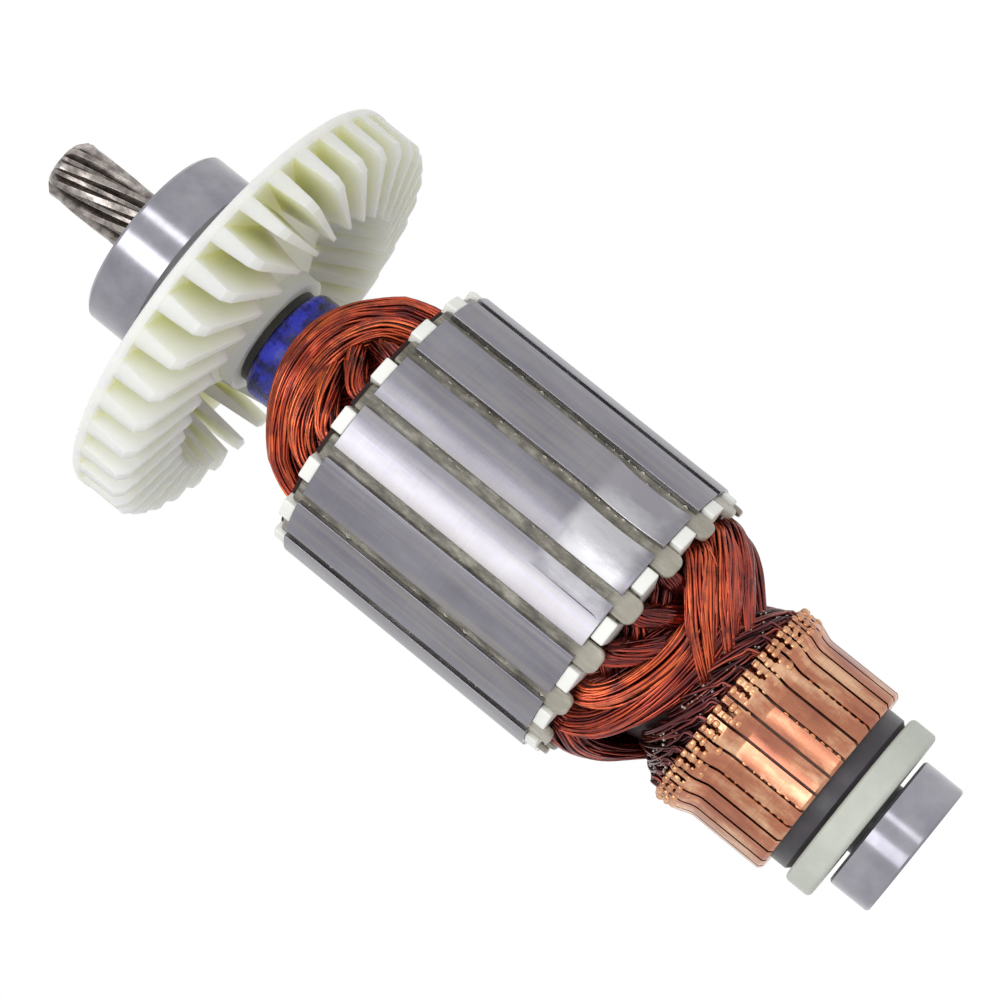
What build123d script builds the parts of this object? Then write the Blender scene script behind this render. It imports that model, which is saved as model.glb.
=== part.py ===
from build123d import *
import os
from dataclasses import dataclass
from math import cos, degrees, radians, sin, tan

# Wound rotor of a hand-held power saw's universal motor, in millimetres.
# +Z runs along the shaft from the commutator to the drive pinion.
# z = 0 is the outer end face of the commutator-end ball bearing, on which the rotor stands.
# Angles around the shaft count from -Y towards +X.


@dataclass
class BearingSize:
    """Sizes of a shielded deep-groove ball bearing."""

    bore: float
    outside: float
    width: float
    corner: float
    ball: float
    ball_count: int
    pitch: float
    inner_land: float
    outer_land: float
    shield_recess: float
    shield_depth: float


@dataclass
class CoilGroup:
    """Coils of a winding head that lie alike."""

    middles: tuple
    depth: float
    lift: float
    rise: float
    bundle: float


# Shaft
shaft_core_diameter = 12.0
shaft_commutator_diameter = 10.0
shaft_end_recess = 0.3
shaft_end_chamfer = 0.4
shaft_step_lead = 2.0

# Helical pinion cut into the end of the shaft
pinion_teeth = 10
pinion_tip_diameter = 9.8
pinion_root_diameter = 7.4
pinion_length = 16.8
pinion_helix_angle = 18.0
pinion_end_chamfer = 1.1
pinion_collar_length = 0.7
pinion_core_inset = 0.2
pinion_root_share = 0.36
pinion_tip_share = 0.16

# Bearings: a light one at the commutator, a heavier one at the pinion
commutator_bearing = BearingSize(
    bore=8.0,
    outside=22.0,
    width=7.0,
    corner=0.4,
    ball=3.969,
    ball_count=7,
    pitch=15.0,
    inner_land=12.1,
    outer_land=18.0,
    shield_recess=19.2,
    shield_depth=0.5,
)
drive_bearing = BearingSize(
    bore=10.0,
    outside=30.0,
    width=9.0,
    corner=0.5,
    ball=4.762,
    ball_count=8,
    pitch=20.0,
    inner_land=16.6,
    outer_land=23.6,
    shield_recess=25.2,
    shield_depth=0.6,
)
race_play = 0.02
race_conformity = 1.04
shield_thickness = 0.3
shield_gap = 0.2
cage_wall = 1.3
cage_floor = 0.45
cage_finger = 1.6
cage_pocket_play = 0.05

# Spacer, washer and commutator
bearing_spacer_length = 0.7
bearing_spacer_diameter = 12.0
washer_thickness = 4.5
washer_diameter = 29.2
washer_corner = 0.8
moulding_flange_length = 3.3
moulding_flange_diameter = 27.0
moulding_corner = 0.7
bar_count = 32
bar_length = 18.4
bar_diameter = 32.0
bar_inner_diameter = 18.4
bar_end_chamfer = 0.5
riser_length = 3.4
riser_flare_length = 2.4
riser_diameter = 33.9
mica_thickness = 0.45
mica_undercut = 0.6
riser_slot_width = 1.0
riser_slot_depth = 2.4
riser_slot_length = 2.9
bush_wall = 1.5
first_bar_gap_angle = 2.2

# Leads between the risers and the winding
lead_neck_length = 4.0
lead_neck_diameter = 25.6
lead_layer = 1.6
lead_root = 1.0
lead_clearance = 0.03

# Laminated core
core_length = 44.9
core_diameter = 47.1
slot_count = 16
slot_bottom_radius = 13.0
slot_mouth_width = 1.9
tooth_width = 3.8
tooth_lip = 0.95
first_tooth_angle = -8.2

# Balancing cut: a shallow dish that a disc cutter left around part of the core
balance_cut_middle = 7.0
balance_cut_depth = 0.6
balance_cut_angle = 20.0
balance_cut_sweep = 52.0
balance_cutter_radius = 35.0

# Insulation and slot filling
end_insulator_thickness = 2.1
end_insulator_diameter = 46.4
liner_thickness = 0.25
liner_overhang = 1.2
slot_clearance = 0.03
wedge_width = 4.1
wedge_thickness = 1.0
wedge_overhang_commutator = 3.5
wedge_overhang_drive = 1.3
wedge_tongue_corner = 1.4
wedge_drive_corner = 0.4
sleeve_diameter = 18.4
sleeve_length = 18.2
sleeve_corner = 1.6
sleeve_ring_diameter = 16.0
sleeve_ring_length = 1.2
inner_tube_wall = 1.0

# Winding heads: bundles of wire that arch from slot to slot over a packed middle
coil_span_slots = 6
coil_foot_sink = 1.5
coil_wedge_gap = 0.4
head_base_gap = 1.9
drive_head_length = 13.3
drive_head_shoulder_diameter = 32.8
drive_head_crown_diameter = 22.6
drive_head_shoulder_share = 0.36
drive_coils = [
    CoilGroup(middles=(0, 180), depth=0, lift=2.0, rise=10.4, bundle=2.6),
    CoilGroup(middles=(60, 120, 240, 300), depth=1.7, lift=1.3, rise=7.5, bundle=2.45),
    CoilGroup(middles=(90, 270), depth=1.2, lift=1.5, rise=5.1, bundle=2.35),
]
commutator_head_length = 13.1
commutator_head_shoulder_diameter = 31.6
commutator_head_shoulder_share = 0.36
commutator_coils = [
    CoilGroup(middles=(0, 180), depth=0, lift=3.3, rise=9.9, bundle=2.8),
    CoilGroup(middles=(60, 120, 240, 300), depth=0.5, lift=3.7, rise=7.9, bundle=2.6),
    CoilGroup(middles=(90, 270), depth=0.7, lift=3.9, rise=5.5, bundle=2.5),
]

# Cooling fan
fan_diameter = 69.6
fan_plate_thickness = 1.7
fan_rim_corner = 0.8
fan_blade_count = 36
fan_blade_rim_height = 7.6
fan_blade_tip_rise = 2.0
fan_blade_tip_diameter = 46.6
fan_blade_root_diameter = 39.0
fan_blade_sweep_angle = 13.0
fan_blade_rim_width = 1.3
fan_blade_inner_width = 0.3
fan_blade_draft = 4.3
fan_blade_corner = 1.2
fan_first_blade_angle = -0.4
fan_blade_inset = 0.15
fan_blade_outer_overrun = 0.15
fan_blade_inner_overrun = 0.6
fan_hub_diameter = 20.0
fan_cone_rise = 5.0
fan_collar_length = 5.6
fan_collar_corner = 1.0
fan_bearing_gap = 0.5

# Heights along the shaft, from the commutator bearing to the pinion
spacer_z = commutator_bearing.width
washer_z = spacer_z + bearing_spacer_length
moulding_z = washer_z + washer_thickness
bars_z = moulding_z + moulding_flange_length
riser_end_z = bars_z + bar_length
riser_z = riser_end_z - riser_length
neck_end_z = riser_end_z + lead_neck_length
lower_insulator_z = neck_end_z + commutator_head_length
core_z = lower_insulator_z + end_insulator_thickness
core_end_z = core_z + core_length
upper_insulator_end_z = core_end_z + end_insulator_thickness
drive_head_end_z = upper_insulator_end_z + drive_head_length
sleeve_end_z = upper_insulator_end_z + sleeve_length
fan_hub_z = sleeve_end_z + sleeve_ring_length
fan_plate_z = fan_hub_z + fan_blade_rim_height
fan_plate_end_z = fan_plate_z + fan_plate_thickness
drive_bearing_z = fan_plate_end_z + fan_collar_length
fan_hub_end_z = drive_bearing_z - fan_bearing_gap
drive_bearing_end_z = drive_bearing_z + drive_bearing.width
pinion_z = drive_bearing_end_z + pinion_collar_length
shaft_end_z = pinion_z + pinion_length

# Radii shared by pieces that seat on each other
core_shaft_radius = shaft_core_diameter / 2
commutator_shaft_radius = shaft_commutator_diameter / 2
bush_radius = commutator_shaft_radius + bush_wall
bar_inner_radius = bar_inner_diameter / 2
tube_radius = core_shaft_radius + inner_tube_wall
sleeve_radius = sleeve_diameter / 2
core_radius = core_diameter / 2
slot_top_radius = core_radius - tooth_lip
slot_pitch = 360 / slot_count
wedge_base_radius = slot_top_radius - wedge_thickness - slot_clearance
conductor_top_radius = wedge_base_radius - slot_clearance
head_limit_radius = wedge_base_radius - coil_wedge_gap


def turned(*corners):
    """Solid turned about the shaft axis from (radius, height) corners."""
    outline = Polyline(*corners, close=True)
    return revolve(Plane.XZ * make_face(outline), Axis.Z)


def tube(inner_radius, outer_radius, low_z, high_z):
    """Plain sleeve on the shaft axis."""
    return turned(
        (inner_radius, low_z),
        (outer_radius, low_z),
        (outer_radius, high_z),
        (inner_radius, high_z),
    )


def around(angle):
    """Turn about the shaft from the -Y direction towards +X."""
    return Rot(0, 0, angle - 90)


def ring_of(piece, count, first_angle):
    """Copies of a piece, drawn along +X, spaced evenly around the shaft."""
    step = 360 / count
    return [around(first_angle + step * k) * piece for k in range(count)]


def save(name, *shapes):
    """Write one named sub-part, a single solid or a group of separate ones."""
    solids = [solid for shape in shapes for solid in shape.solids()]
    whole = solids[0] if len(solids) == 1 else Compound(solids)
    export_step(whole, f"parts/{name}.step")


def ball_ring(size, middle_z):
    """Balls of one bearing, evenly spaced on the pitch circle."""
    ball = Pos(size.pitch / 2, 0, middle_z) * Sphere(size.ball / 2)
    return ring_of(ball, size.ball_count, 0)


def race_groove(size, race_radius, outward, middle_z):
    """Ring that cuts a race whose bottom stands race_play clear of the balls."""
    groove = size.ball / 2 * race_conformity
    centre = race_radius - groove if outward else race_radius + groove
    return Pos(0, 0, middle_z) * Torus(centre, groove)


def outer_ring(size, low_z):
    """Outer ring with its race and a recess for a shield at each end."""
    high_z = low_z + size.width
    recess = size.shield_depth + shield_thickness
    edge = size.outside / 2
    blank = turned(
        (size.shield_recess / 2, low_z),
        (edge - size.corner, low_z),
        (edge, low_z + size.corner),
        (edge, high_z - size.corner),
        (edge - size.corner, high_z),
        (size.shield_recess / 2, high_z),
        (size.shield_recess / 2, high_z - recess),
        (size.outer_land / 2, high_z - recess),
        (size.outer_land / 2, low_z + recess),
        (size.shield_recess / 2, low_z + recess),
    )
    race = size.pitch / 2 + size.ball / 2 + race_play
    return blank - race_groove(size, race, True, low_z + size.width / 2)


def inner_ring(size, low_z):
    """Inner ring with its race and broken bore edges."""
    high_z = low_z + size.width
    bore = size.bore / 2
    land = size.inner_land / 2
    blank = turned(
        (bore + size.corner, low_z),
        (land, low_z),
        (land, high_z),
        (bore + size.corner, high_z),
        (bore, high_z - size.corner),
        (bore, low_z + size.corner),
    )
    race = size.pitch / 2 - size.ball / 2 - race_play
    return blank - race_groove(size, race, False, low_z + size.width / 2)


def shield(size, low_z):
    """Pressed steel shield, seated in the outer ring and clear of the inner one."""
    return tube(
        size.inner_land / 2 + shield_gap,
        size.shield_recess / 2,
        low_z,
        low_z + shield_thickness,
    )


def ball_cage(size, middle_z):
    """Crown cage: a ring under the balls with fingers between them."""
    pocket_radius = size.ball / 2 + cage_pocket_play
    blank = tube(
        size.pitch / 2 - cage_wall / 2,
        size.pitch / 2 + cage_wall / 2,
        middle_z - pocket_radius - cage_floor,
        middle_z + cage_finger,
    )
    pocket = Pos(size.pitch / 2, 0, middle_z) * Sphere(pocket_radius)
    return blank - ring_of(pocket, size.ball_count, 0)


def save_bearing(prefix, size, low_z):
    """Write the pieces of one bearing, its balls as a group."""
    middle_z = low_z + size.width / 2
    high_z = low_z + size.width
    inset = size.shield_depth
    save(prefix + "_outer_ring", outer_ring(size, low_z))
    save(prefix + "_inner_ring", inner_ring(size, low_z))
    save(prefix + "_lower_shield", shield(size, low_z + inset))
    save(prefix + "_upper_shield", shield(size, high_z - inset - shield_thickness))
    save(prefix + "_cage", ball_cage(size, middle_z))
    save(prefix + "_balls", *ball_ring(size, middle_z))


def pinion():
    """Helical teeth on the end of the shaft, with a chamfered tip."""
    tip = pinion_tip_diameter / 2
    root = pinion_root_diameter / 2
    pitch = 360 / pinion_teeth
    flank = (
        (root, -pinion_root_share),
        (tip, -pinion_tip_share),
        (tip, pinion_tip_share),
        (root, pinion_root_share),
    )
    corners = []
    for k in range(pinion_teeth):
        middle = pitch * k
        for radius, share in flank:
            angle = radians(middle + pitch * share)
            corners.append((radius * cos(angle), radius * sin(angle)))
    profile = make_face(Polyline(*corners, close=True))
    twist = degrees(pinion_length * tan(radians(pinion_helix_angle)) / tip)
    toothed = Solid.extrude_linear_with_rotation(
        profile.face(), (0, 0, 0), (0, 0, pinion_length), -twist
    )
    outside = tip + pinion_end_chamfer
    chamfer = turned(
        (tip - pinion_end_chamfer, pinion_length),
        (outside, pinion_length),
        (outside, pinion_length - 2 * pinion_end_chamfer),
    )
    return Pos(0, 0, pinion_z) * (toothed - chamfer)


def shaft():
    """Stepped steel shaft with the pinion cut in its end."""
    bearing_seat = commutator_bearing.bore / 2
    drive_seat = drive_bearing.bore / 2
    pinion_core = pinion_root_diameter / 2 - pinion_core_inset
    step_z = lower_insulator_z - commutator_head_length - shaft_step_lead
    body = turned(
        (0, shaft_end_recess),
        (bearing_seat - shaft_end_chamfer, shaft_end_recess),
        (bearing_seat, shaft_end_recess + shaft_end_chamfer),
        (bearing_seat, washer_z),
        (commutator_shaft_radius, washer_z),
        (commutator_shaft_radius, step_z),
        (core_shaft_radius, step_z),
        (core_shaft_radius, drive_bearing_z),
        (drive_seat, drive_bearing_z),
        (drive_seat, drive_bearing_end_z),
        (pinion_core, pinion_z),
        (pinion_core, pinion_z + pinion_length / 2),
        (0, pinion_z + pinion_length / 2),
    )
    return body + pinion()


def slot_prism(inset, low_radius, high_radius, low_z, high_z):
    """Bar that fills one slot between parallel-sided teeth, drawn along +X."""
    half_pitch = radians(slot_pitch / 2)
    half_tooth = tooth_width / 2 + inset
    low_half = low_radius * tan(half_pitch) - half_tooth / cos(half_pitch)
    high_half = high_radius * tan(half_pitch) - half_tooth / cos(half_pitch)
    outline = Polyline(
        (low_radius, -low_half),
        (high_radius, -high_half),
        (high_radius, high_half),
        (low_radius, low_half),
        close=True,
    )
    return Pos(0, 0, low_z) * extrude(make_face(outline), high_z - low_z)


def every_slot(piece):
    """Copies of a piece at all slots of the core."""
    return ring_of(piece, slot_count, first_tooth_angle + slot_pitch / 2)


def balance_cutter():
    """Path of the disc cutter that lightened the core on one side."""
    centre = core_radius - balance_cut_depth + balance_cutter_radius
    disc = Pos(centre, core_z + balance_cut_middle) * Circle(balance_cutter_radius)
    start = Rot(0, 0, -balance_cut_sweep / 2) * (Plane.XZ * disc)
    return around(balance_cut_angle) * revolve(start, Axis.Z, balance_cut_sweep)


def lamination_stack():
    """Bonded stack of electrical steel sheets with semi-closed slots."""
    blank = tube(core_shaft_radius, core_radius, core_z, core_end_z)
    slot = slot_prism(0, slot_bottom_radius, slot_top_radius, core_z, core_end_z)
    mouth_depth = 2 * tooth_lip
    mouth = Pos(core_radius, 0, core_z + core_length / 2) * Box(
        mouth_depth * 2, slot_mouth_width, core_length
    )
    return blank - every_slot(slot + mouth) - balance_cutter()


def end_insulator(low_z):
    """Moulded star that keeps the wire off the core's end face."""
    high_z = low_z + end_insulator_thickness
    reach = end_insulator_diameter / 2
    hub = tube(core_shaft_radius, slot_bottom_radius, low_z, high_z)
    middle_z = low_z + end_insulator_thickness / 2
    arm = Pos(reach / 2, 0, middle_z) * Box(reach, tooth_width, end_insulator_thickness)
    envelope = tube(core_shaft_radius, reach, low_z, high_z)
    arms = [turned_arm & envelope for turned_arm in ring_of(arm, slot_count, first_tooth_angle)]
    return hub + arms


def slot_liner():
    """Folded insulating paper on the two walls and floor of a slot."""
    low_z = core_z - liner_overhang
    high_z = core_end_z + liner_overhang
    outside = slot_prism(
        slot_clearance, slot_bottom_radius + slot_clearance, wedge_base_radius, low_z, high_z
    )
    inside = slot_prism(
        slot_clearance + liner_thickness,
        slot_bottom_radius + slot_clearance + liner_thickness,
        core_radius,
        low_z,
        high_z,
    )
    return outside - inside


def slot_conductor():
    """Coil sides of one slot, packed into a bar."""
    wall = 2 * slot_clearance + liner_thickness
    return slot_prism(
        wall, slot_bottom_radius + wall, conductor_top_radius, lower_insulator_z, upper_insulator_end_z
    )


def slot_wedge():
    """Strip that closes a slot, with a rounded tongue past the core's commutator end."""
    low_z = core_z - wedge_overhang_commutator
    high_z = core_end_z + wedge_overhang_drive
    length = high_z - low_z
    strip = Pos(wedge_base_radius + wedge_thickness / 2, 0, low_z + length / 2) * Box(
        wedge_thickness, wedge_width, length
    )
    strip = fillet(strip.edges().filter_by(Axis.X).sort_by(Axis.Z)[:2], wedge_tongue_corner)
    return fillet(strip.edges().filter_by(Axis.X).sort_by(Axis.Z)[-2:], wedge_drive_corner)


def bar_ring():
    """Copper bars that flare into risers, parted by the mica gaps."""
    radius = bar_diameter / 2
    blank = turned(
        (bar_inner_radius, bars_z),
        (radius - bar_end_chamfer, bars_z),
        (radius, bars_z + bar_end_chamfer),
        (radius, riser_z - riser_flare_length),
        (riser_diameter / 2, riser_z),
        (riser_diameter / 2, riser_end_z),
        (bar_inner_radius, riser_end_z),
    )
    middle_z = bars_z + bar_length / 2
    gap = Pos(radius, 0, middle_z) * Box(radius * 2, mica_thickness, bar_length)
    slot = Pos(riser_diameter / 2, 0, riser_end_z - riser_slot_length / 2) * Box(
        riser_slot_depth * 2, riser_slot_width, riser_slot_length
    )
    half_bar = 180 / bar_count
    gaps = ring_of(gap, bar_count, first_bar_gap_angle)
    slots = ring_of(slot, bar_count, first_bar_gap_angle + half_bar)
    return blank - gaps - slots


def mica_plate():
    """Insulating plate between two bars, undercut below their surface."""
    depth = bar_diameter / 2 - mica_undercut - bar_inner_radius
    outside = bar_inner_radius + depth
    plate = Pos(outside - depth / 2, 0, bars_z + bar_length / 2) * Box(
        depth, mica_thickness, bar_length
    )
    return plate


def commutator_moulding():
    """Moulded body under the bars, with a flange at the bearing end."""
    flange = moulding_flange_diameter / 2
    return turned(
        (bush_radius, moulding_z),
        (flange - moulding_corner, moulding_z),
        (flange, moulding_z + moulding_corner),
        (flange, bars_z),
        (bar_inner_radius, bars_z),
        (bar_inner_radius, riser_end_z),
        (bush_radius, riser_end_z),
    )


def insulating_washer():
    """Pale washer with rounded rims between the commutator and the bearing."""
    radius = washer_diameter / 2
    plain = tube(commutator_shaft_radius, radius, washer_z, moulding_z)
    rims = plain.edges().filter_by(GeomType.CIRCLE).sort_by(SortBy.RADIUS)[-2:]
    return fillet(rims, washer_corner)


def commutator_leads():
    """Coil ends laid from the winding into the riser slots."""
    neck = lead_neck_diameter / 2
    slot_floor = riser_diameter / 2 - riser_slot_depth + lead_clearance
    crest = bar_diameter / 2
    slot_end = riser_end_z - riser_slot_length + lead_clearance
    cone = turned(
        (tube_radius, riser_end_z),
        (slot_floor, riser_end_z),
        (neck - lead_layer / 2, neck_end_z),
        (tube_radius, neck_end_z),
    )
    envelope = turned(
        (slot_floor - lead_root, riser_end_z),
        (slot_floor, riser_end_z),
        (slot_floor, slot_end),
        (crest, slot_end),
        (crest, riser_end_z),
        (neck, neck_end_z),
        (neck - lead_layer, neck_end_z),
    )
    width = riser_slot_width - 2 * lead_clearance
    height = neck_end_z - slot_end
    lead = Pos(crest, 0, slot_end + height / 2) * Box(crest, width, height)
    half_bar = 180 / bar_count
    leads = [piece & envelope for piece in ring_of(lead, bar_count, first_bar_gap_angle + half_bar)]
    return cone + leads


def coil_arc(middle, foot_radius, foot_z, crest_radius, crest_z, bundle):
    """Bundle of wire that arches from one slot over the shaft's side to another."""
    half_span = radians(slot_pitch * coil_span_slots / 2)
    foot = foot_radius * cos(half_span)
    side = foot_radius * sin(half_span)
    path = ThreePointArc((foot, -side, foot_z), (crest_radius, 0, crest_z), (foot, side, foot_z))
    section = Plane(origin=path @ 0, z_dir=path % 0) * Circle(bundle)
    return around(middle) * sweep(section, path)


def winding_head(middle_part, groups, inner_radius, base_z, end_z):
    """Crossed coil ends around a packed middle, from the end insulator outwards."""
    outward = 1 if end_z > base_z else -1
    coils = [
        coil_arc(
            middle,
            head_limit_radius - group.bundle - group.depth,
            base_z - outward * coil_foot_sink,
            inner_radius + group.lift + group.bundle,
            base_z + outward * group.rise,
            group.bundle,
        )
        for group in groups
        for middle in group.middles
    ]
    envelope = tube(inner_radius, head_limit_radius, min(base_z, end_z), max(base_z, end_z))
    return (middle_part + coils) & envelope


def drive_winding_head():
    """Dome of crossed coil ends around the insulating sleeve."""
    shoulder_z = upper_insulator_end_z + drive_head_length * drive_head_shoulder_share
    packed = turned(
        (sleeve_radius, upper_insulator_end_z),
        (head_limit_radius - head_base_gap, upper_insulator_end_z),
        (drive_head_shoulder_diameter / 2, shoulder_z),
        (drive_head_crown_diameter / 2, drive_head_end_z),
        (sleeve_radius, drive_head_end_z),
    )
    return winding_head(
        packed, drive_coils, sleeve_radius, upper_insulator_end_z, drive_head_end_z
    )


def commutator_winding_head():
    """Cone of crossed coil ends that narrows to the commutator."""
    shoulder_z = lower_insulator_z - commutator_head_length * commutator_head_shoulder_share
    packed = turned(
        (tube_radius, lower_insulator_z),
        (head_limit_radius - head_base_gap, lower_insulator_z),
        (commutator_head_shoulder_diameter / 2, shoulder_z),
        (lead_neck_diameter / 2, neck_end_z),
        (tube_radius, neck_end_z),
    )
    return winding_head(packed, commutator_coils, tube_radius, lower_insulator_z, neck_end_z)


def shaft_sleeve():
    """Insulating sleeve between the core and the fan, with a rounded end."""
    plain = tube(core_shaft_radius, sleeve_radius, upper_insulator_end_z, sleeve_end_z)
    rim = plain.edges().filter_by(GeomType.CIRCLE).group_by(Axis.Z)[-1].sort_by(SortBy.RADIUS)[-1]
    return fillet(rim, sleeve_corner)


def fan_blade(envelope):
    """One swept blade, thinner at its free edge and inner end, drawn along +X."""
    rim = Vector(fan_diameter / 2, 0)
    sweep = radians(fan_blade_sweep_angle)
    tip = Vector(cos(sweep), sin(sweep)) * (fan_blade_tip_diameter / 2)
    run = tip - rim
    across = Vector(-run.Y, run.X).normalized()
    outer = rim - run * fan_blade_outer_overrun
    inner = rim + run * (1 + fan_blade_inner_overrun)
    wide = across * (fan_blade_rim_width / 2)
    thin = across * (fan_blade_inner_width / 2)
    outline = Polyline(outer + wide, inner + thin, inner - thin, outer - wide, close=True)
    low_z = fan_hub_z - fan_blade_tip_rise
    prism = extrude(make_face(outline), fan_plate_end_z - low_z, taper=-fan_blade_draft)
    return (Pos(0, 0, low_z) * prism) & envelope


def cooling_fan():
    """Open radial fan: back plate, coned hub and a ring of swept blades."""
    rim = fan_diameter / 2
    hub = fan_hub_diameter / 2
    root = fan_blade_root_diameter / 2
    tip = fan_blade_tip_diameter / 2
    plate = turned(
        (core_shaft_radius, fan_hub_z),
        (hub, fan_hub_z),
        (hub, fan_plate_z - fan_cone_rise),
        (root - fan_blade_inset, fan_plate_z),
        (rim, fan_plate_z),
        (rim, fan_plate_end_z),
        (hub + fan_collar_corner, fan_plate_end_z),
        (hub, fan_plate_end_z + fan_collar_corner),
        (hub, fan_hub_end_z),
        (core_shaft_radius, fan_hub_end_z),
    )
    back_rim = plate.edges().filter_by(GeomType.CIRCLE).sort_by(SortBy.RADIUS)[-2:].sort_by(Axis.Z)[-1]
    plate = fillet(back_rim, fan_rim_corner)
    sunk_z = fan_plate_z + fan_plate_thickness / 2
    envelope = turned(
        (root, sunk_z),
        (tip, fan_hub_z - fan_blade_tip_rise),
        (rim - fan_blade_inset - fan_blade_corner, fan_hub_z),
        (rim - fan_blade_inset, fan_hub_z + fan_blade_corner),
        (rim - fan_blade_inset, sunk_z),
    )
    blades = ring_of(fan_blade(envelope), fan_blade_count, fan_first_blade_angle)
    return plate + blades


os.makedirs("parts", exist_ok=True)

save_bearing("commutator_bearing", commutator_bearing, 0)
save_bearing("drive_bearing", drive_bearing, drive_bearing_z)

save("shaft", shaft())
save("lamination_stack", lamination_stack())
save("end_insulator_commutator", end_insulator(lower_insulator_z))
save("end_insulator_drive", end_insulator(core_end_z))
save("slot_liners", *every_slot(slot_liner()))
save("slot_conductors", *every_slot(slot_conductor()))
save("slot_wedges", *every_slot(slot_wedge()))
save("winding_head_drive", drive_winding_head())
save("winding_head_commutator", commutator_winding_head())
save("commutator_leads", commutator_leads())
save("commutator_bars", bar_ring())
save("commutator_mica", *ring_of(mica_plate(), bar_count, first_bar_gap_angle))
save("commutator_moulding", commutator_moulding())
save("commutator_bush", tube(commutator_shaft_radius, bush_radius, moulding_z, riser_end_z))
save("insulating_washer", insulating_washer())
save("shaft_tube_commutator", tube(core_shaft_radius, tube_radius, riser_end_z, lower_insulator_z))
save("shaft_sleeve_drive", shaft_sleeve())
save(
    "bearing_spacer",
    tube(commutator_bearing.bore / 2, bearing_spacer_diameter / 2, spacer_z, washer_z),
)
save(
    "sleeve_ring",
    tube(core_shaft_radius, sleeve_ring_diameter / 2, sleeve_end_z, fan_hub_z),
)
save("cooling_fan", cooling_fan())
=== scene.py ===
import math
import random

import bmesh
import bpy
import numpy as np
from mathutils import Matrix, Vector


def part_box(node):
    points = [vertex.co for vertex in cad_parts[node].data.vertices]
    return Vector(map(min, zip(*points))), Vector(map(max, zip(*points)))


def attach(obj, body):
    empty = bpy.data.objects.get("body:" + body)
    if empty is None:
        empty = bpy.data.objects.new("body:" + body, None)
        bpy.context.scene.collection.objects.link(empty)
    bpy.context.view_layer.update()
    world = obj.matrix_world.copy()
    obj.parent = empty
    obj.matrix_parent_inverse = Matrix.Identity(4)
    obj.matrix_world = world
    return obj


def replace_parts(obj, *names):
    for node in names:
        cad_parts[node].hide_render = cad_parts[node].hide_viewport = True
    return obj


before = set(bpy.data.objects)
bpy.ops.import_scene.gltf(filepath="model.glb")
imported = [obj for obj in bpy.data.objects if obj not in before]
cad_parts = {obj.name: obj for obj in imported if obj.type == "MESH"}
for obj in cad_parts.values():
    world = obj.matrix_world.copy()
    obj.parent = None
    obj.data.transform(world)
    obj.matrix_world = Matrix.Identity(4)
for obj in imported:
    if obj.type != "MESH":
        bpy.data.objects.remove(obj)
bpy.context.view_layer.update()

# Lengths in this script are millimetres and become metres where meshes are made.
MM = 0.001
# Angles around the shaft count from -Y towards +X, in degrees.
SLOT_COUNT = 16
SLOT_PITCH = 360 / SLOT_COUNT
FIRST_SLOT = 3.05
COIL_HALF_SPAN = 3 * SLOT_PITCH
BAR_COUNT = 32
BAR_PITCH = 360 / BAR_COUNT
FIRST_BAR_GAP = 2.2
# The winding's coils are alike on both sides of the shaft
BOTH_SIDES = (0, 180)
# Radius of a wire with its enamel
WIRE = 0.23
# Turn, in radians, that spreads any number of wires evenly around a bundle
GOLDEN_ANGLE = 2.399963
# Light that comes from all sides, tone of the floor and its lift to white where it is seen
WORLD_LIGHT = 0.68
FLOOR_TONE = 0.86
FLOOR_LIFT = 0.5


def low_z(node):
    """Lowest height of a CAD node, in millimetres."""
    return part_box(node)[0].z / MM


def high_z(node):
    """Highest height of a CAD node, in millimetres."""
    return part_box(node)[1].z / MM


def radius_of(node):
    """Largest reach of a round CAD node along X, in millimetres."""
    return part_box(node)[1].x / MM


CORE_RADIUS = radius_of("lamination_stack")
CORE_LOW = low_z("lamination_stack")


# Materials


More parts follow.
